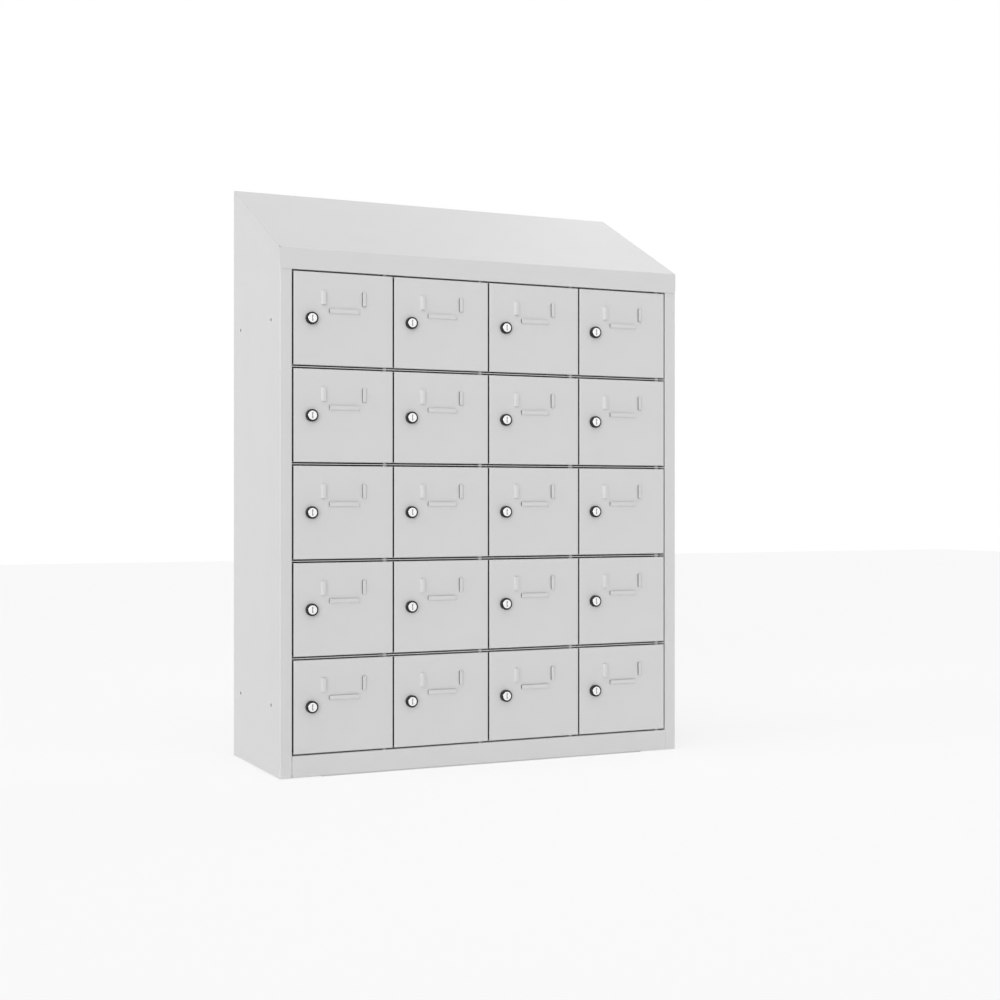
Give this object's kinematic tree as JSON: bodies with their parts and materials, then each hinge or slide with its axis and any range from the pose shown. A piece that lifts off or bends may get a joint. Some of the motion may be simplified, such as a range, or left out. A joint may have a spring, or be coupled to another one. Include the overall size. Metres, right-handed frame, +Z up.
{
  "type": "wall locker",
  "caption": "Powder coated sheet-steel wall locker with a sloping hood and small hinged doors, each with a pressed card holder and a cam lock, in front of open compartments.",
  "frame": {"origin": "middle of the width on the wall face, at the underside of the bottom plate", "axes": "+X to the right as seen from the front, +Y from the front to the wall, +Z up"},
  "size_m": [0.6812, 0.2568, 0.9158],
  "materials": {
    "grey_coat": "satin",
    "black_coat": "satin",
    "lock_metal": "polished",
    "zinc_steel": "satin",
    "nylon": "matte"
  },
  "bodies": {
    "carcass": {"left_side_panel": "grey_coat", "right_side_panel": "grey_coat", "back_panel": "grey_coat", "hood": "grey_coat", "top_panel": "grey_coat", "floor_panel": "grey_coat", "bottom_plate": "grey_coat", "shelf_1": "grey_coat", "shelf_2": "grey_coat", "shelf_3": "grey_coat", "shelf_4": "grey_coat", "divider_1": "grey_coat", "divider_2": "grey_coat", "divider_3": "grey_coat", "strike_plates": "black_coat", "hinge_pins": "zinc_steel", "hinge_washers": "nylon"},
    "door_row1_col1": {"door_row1_col1": "grey_coat"},
    "lock_row1_col1": {"lock_row1_col1": "lock_metal"},
    "door_row1_col2": {"door_row1_col2": "grey_coat"},
    "lock_row1_col2": {"lock_row1_col2": "lock_metal"},
    "door_row1_col3": {"door_row1_col3": "grey_coat"},
    "lock_row1_col3": {"lock_row1_col3": "lock_metal"},
    "door_row1_col4": {"door_row1_col4": "grey_coat"},
    "lock_row1_col4": {"lock_row1_col4": "lock_metal"},
    "door_row2_col1": {"door_row2_col1": "grey_coat"},
    "lock_row2_col1": {"lock_row2_col1": "lock_metal"},
    "door_row2_col2": {"door_row2_col2": "grey_coat"},
    "lock_row2_col2": {"lock_row2_col2": "lock_metal"},
    "door_row2_col3": {"door_row2_col3": "grey_coat"},
    "lock_row2_col3": {"lock_row2_col3": "lock_metal"},
    "door_row2_col4": {"door_row2_col4": "grey_coat"},
    "lock_row2_col4": {"lock_row2_col4": "lock_metal"},
    "door_row3_col1": {"door_row3_col1": "grey_coat"},
    "lock_row3_col1": {"lock_row3_col1": "lock_metal"},
    "door_row3_col2": {"door_row3_col2": "grey_coat"},
    "lock_row3_col2": {"lock_row3_col2": "lock_metal"},
    "door_row3_col3": {"door_row3_col3": "grey_coat"},
    "lock_row3_col3": {"lock_row3_col3": "lock_metal"},
    "door_row3_col4": {"door_row3_col4": "grey_coat"},
    "lock_row3_col4": {"lock_row3_col4": "lock_metal"},
    "door_row4_col1": {"door_row4_col1": "grey_coat"},
    "lock_row4_col1": {"lock_row4_col1": "lock_metal"},
    "door_row4_col2": {"door_row4_col2": "grey_coat"},
    "lock_row4_col2": {"lock_row4_col2": "lock_metal"},
    "door_row4_col3": {"door_row4_col3": "grey_coat"},
    "lock_row4_col3": {"lock_row4_col3": "lock_metal"},
    "door_row4_col4": {"door_row4_col4": "grey_coat"},
    "lock_row4_col4": {"lock_row4_col4": "lock_metal"},
    "door_row5_col1": {"door_row5_col1": "grey_coat"},
    "lock_row5_col1": {"lock_row5_col1": "lock_metal"},
    "door_row5_col2": {"door_row5_col2": "grey_coat"},
    "lock_row5_col2": {"lock_row5_col2": "lock_metal"},
    "door_row5_col3": {"door_row5_col3": "grey_coat"},
    "lock_row5_col3": {"lock_row5_col3": "lock_metal"},
    "door_row5_col4": {"door_row5_col4": "grey_coat"},
    "lock_row5_col4": {"lock_row5_col4": "lock_metal"}
  },
  "joints": [
    {"name": "door_row1_col1_hinge", "type": "hinge", "parent": "carcass", "child": "door_row1_col1", "pos_m": [-0.1734, -0.244, 0.61613], "axis": [0, 0, 1], "range_deg": [0, 105]},
    {"name": "lock_row1_col1_turn", "type": "hinge", "parent": "door_row1_col1", "child": "lock_row1_col1", "pos_m": [-0.2918, -0.25, 0.68594], "axis": [0, 1, 0], "range_deg": [0, 90]},
    {"name": "door_row1_col2_hinge", "type": "hinge", "parent": "carcass", "child": "door_row1_col2", "pos_m": [-0.0132, -0.244, 0.61613], "axis": [0, 0, 1], "range_deg": [0, 105]},
    {"name": "lock_row1_col2_turn", "type": "hinge", "parent": "door_row1_col2", "child": "lock_row1_col2", "pos_m": [-0.1316, -0.25, 0.68594], "axis": [0, 1, 0], "range_deg": [0, 90]},
    {"name": "door_row1_col3_hinge", "type": "hinge", "parent": "carcass", "child": "door_row1_col3", "pos_m": [0.147, -0.244, 0.61613], "axis": [0, 0, 1], "range_deg": [0, 105]},
    {"name": "lock_row1_col3_turn", "type": "hinge", "parent": "door_row1_col3", "child": "lock_row1_col3", "pos_m": [0.0286, -0.25, 0.68594], "axis": [0, 1, 0], "range_deg": [0, 90]},
    {"name": "door_row1_col4_hinge", "type": "hinge", "parent": "carcass", "child": "door_row1_col4", "pos_m": [0.3072, -0.244, 0.61613], "axis": [0, 0, 1], "range_deg": [0, 105]},
    {"name": "lock_row1_col4_turn", "type": "hinge", "parent": "door_row1_col4", "child": "lock_row1_col4", "pos_m": [0.1888, -0.25, 0.68594], "axis": [0, 1, 0], "range_deg": [0, 90]},
    {"name": "door_row2_col1_hinge", "type": "hinge", "parent": "carcass", "child": "door_row2_col1", "pos_m": [-0.1734, -0.244, 0.47101], "axis": [0, 0, 1], "range_deg": [0, 105]},
    {"name": "lock_row2_col1_turn", "type": "hinge", "parent": "door_row2_col1", "child": "lock_row2_col1", "pos_m": [-0.2918, -0.25, 0.54082], "axis": [0, 1, 0], "range_deg": [0, 90]},
    {"name": "door_row2_col2_hinge", "type": "hinge", "parent": "carcass", "child": "door_row2_col2", "pos_m": [-0.0132, -0.244, 0.47101], "axis": [0, 0, 1], "range_deg": [0, 105]},
    {"name": "lock_row2_col2_turn", "type": "hinge", "parent": "door_row2_col2", "child": "lock_row2_col2", "pos_m": [-0.1316, -0.25, 0.54082], "axis": [0, 1, 0], "range_deg": [0, 90]},
    {"name": "door_row2_col3_hinge", "type": "hinge", "parent": "carcass", "child": "door_row2_col3", "pos_m": [0.147, -0.244, 0.47101], "axis": [0, 0, 1], "range_deg": [0, 105]},
    {"name": "lock_row2_col3_turn", "type": "hinge", "parent": "door_row2_col3", "child": "lock_row2_col3", "pos_m": [0.0286, -0.25, 0.54082], "axis": [0, 1, 0], "range_deg": [0, 90]},
    {"name": "door_row2_col4_hinge", "type": "hinge", "parent": "carcass", "child": "door_row2_col4", "pos_m": [0.3072, -0.244, 0.47101], "axis": [0, 0, 1], "range_deg": [0, 105]},
    {"name": "lock_row2_col4_turn", "type": "hinge", "parent": "door_row2_col4", "child": "lock_row2_col4", "pos_m": [0.1888, -0.25, 0.54082], "axis": [0, 1, 0], "range_deg": [0, 90]},
    {"name": "door_row3_col1_hinge", "type": "hinge", "parent": "carcass", "child": "door_row3_col1", "pos_m": [-0.1734, -0.244, 0.32589], "axis": [0, 0, 1], "range_deg": [0, 105]},
    {"name": "lock_row3_col1_turn", "type": "hinge", "parent": "door_row3_col1", "child": "lock_row3_col1", "pos_m": [-0.2918, -0.25, 0.3957], "axis": [0, 1, 0], "range_deg": [0, 90]},
    {"name": "door_row3_col2_hinge", "type": "hinge", "parent": "carcass", "child": "door_row3_col2", "pos_m": [-0.0132, -0.244, 0.32589], "axis": [0, 0, 1], "range_deg": [0, 105]},
    {"name": "lock_row3_col2_turn", "type": "hinge", "parent": "door_row3_col2", "child": "lock_row3_col2", "pos_m": [-0.1316, -0.25, 0.3957], "axis": [0, 1, 0], "range_deg": [0, 90]},
    {"name": "door_row3_col3_hinge", "type": "hinge", "parent": "carcass", "child": "door_row3_col3", "pos_m": [0.147, -0.244, 0.32589], "axis": [0, 0, 1], "range_deg": [0, 105]},
    {"name": "lock_row3_col3_turn", "type": "hinge", "parent": "door_row3_col3", "child": "lock_row3_col3", "pos_m": [0.0286, -0.25, 0.3957], "axis": [0, 1, 0], "range_deg": [0, 90]},
    {"name": "door_row3_col4_hinge", "type": "hinge", "parent": "carcass", "child": "door_row3_col4", "pos_m": [0.3072, -0.244, 0.32589], "axis": [0, 0, 1], "range_deg": [0, 105]},
    {"name": "lock_row3_col4_turn", "type": "hinge", "parent": "door_row3_col4", "child": "lock_row3_col4", "pos_m": [0.1888, -0.25, 0.3957], "axis": [0, 1, 0], "range_deg": [0, 90]},
    {"name": "door_row4_col1_hinge", "type": "hinge", "parent": "carcass", "child": "door_row4_col1", "pos_m": [-0.1734, -0.244, 0.18077], "axis": [0, 0, 1], "range_deg": [0, 105]},
    {"name": "lock_row4_col1_turn", "type": "hinge", "parent": "door_row4_col1", "child": "lock_row4_col1", "pos_m": [-0.2918, -0.25, 0.25058], "axis": [0, 1, 0], "range_deg": [0, 90]},
    {"name": "door_row4_col2_hinge", "type": "hinge", "parent": "carcass", "child": "door_row4_col2", "pos_m": [-0.0132, -0.244, 0.18077], "axis": [0, 0, 1], "range_deg": [0, 105]},
    {"name": "lock_row4_col2_turn", "type": "hinge", "parent": "door_row4_col2", "child": "lock_row4_col2", "pos_m": [-0.1316, -0.25, 0.25058], "axis": [0, 1, 0], "range_deg": [0, 90]},
    {"name": "door_row4_col3_hinge", "type": "hinge", "parent": "carcass", "child": "door_row4_col3", "pos_m": [0.147, -0.244, 0.18077], "axis": [0, 0, 1], "range_deg": [0, 105]},
    {"name": "lock_row4_col3_turn", "type": "hinge", "parent": "door_row4_col3", "child": "lock_row4_col3", "pos_m": [0.0286, -0.25, 0.25058], "axis": [0, 1, 0], "range_deg": [0, 90]},
    {"name": "door_row4_col4_hinge", "type": "hinge", "parent": "carcass", "child": "door_row4_col4", "pos_m": [0.3072, -0.244, 0.18077], "axis": [0, 0, 1], "range_deg": [0, 105]},
    {"name": "lock_row4_col4_turn", "type": "hinge", "parent": "door_row4_col4", "child": "lock_row4_col4", "pos_m": [0.1888, -0.25, 0.25058], "axis": [0, 1, 0], "range_deg": [0, 90]},
    {"name": "door_row5_col1_hinge", "type": "hinge", "parent": "carcass", "child": "door_row5_col1", "pos_m": [-0.1734, -0.244, 0.03565], "axis": [0, 0, 1], "range_deg": [0, 105]},
    {"name": "lock_row5_col1_turn", "type": "hinge", "parent": "door_row5_col1", "child": "lock_row5_col1", "pos_m": [-0.2918, -0.25, 0.10546], "axis": [0, 1, 0], "range_deg": [0, 90]},
    {"name": "door_row5_col2_hinge", "type": "hinge", "parent": "carcass", "child": "door_row5_col2", "pos_m": [-0.0132, -0.244, 0.03565], "axis": [0, 0, 1], "range_deg": [0, 105]},
    {"name": "lock_row5_col2_turn", "type": "hinge", "parent": "door_row5_col2", "child": "lock_row5_col2", "pos_m": [-0.1316, -0.25, 0.10546], "axis": [0, 1, 0], "range_deg": [0, 90]},
    {"name": "door_row5_col3_hinge", "type": "hinge", "parent": "carcass", "child": "door_row5_col3", "pos_m": [0.147, -0.244, 0.03565], "axis": [0, 0, 1], "range_deg": [0, 105]},
    {"name": "lock_row5_col3_turn", "type": "hinge", "parent": "door_row5_col3", "child": "lock_row5_col3", "pos_m": [0.0286, -0.25, 0.10546], "axis": [0, 1, 0], "range_deg": [0, 90]},
    {"name": "door_row5_col4_hinge", "type": "hinge", "parent": "carcass", "child": "door_row5_col4", "pos_m": [0.3072, -0.244, 0.03565], "axis": [0, 0, 1], "range_deg": [0, 105]},
    {"name": "lock_row5_col4_turn", "type": "hinge", "parent": "door_row5_col4", "child": "lock_row5_col4", "pos_m": [0.1888, -0.25, 0.10546], "axis": [0, 1, 0], "range_deg": [0, 90]}
  ]
}
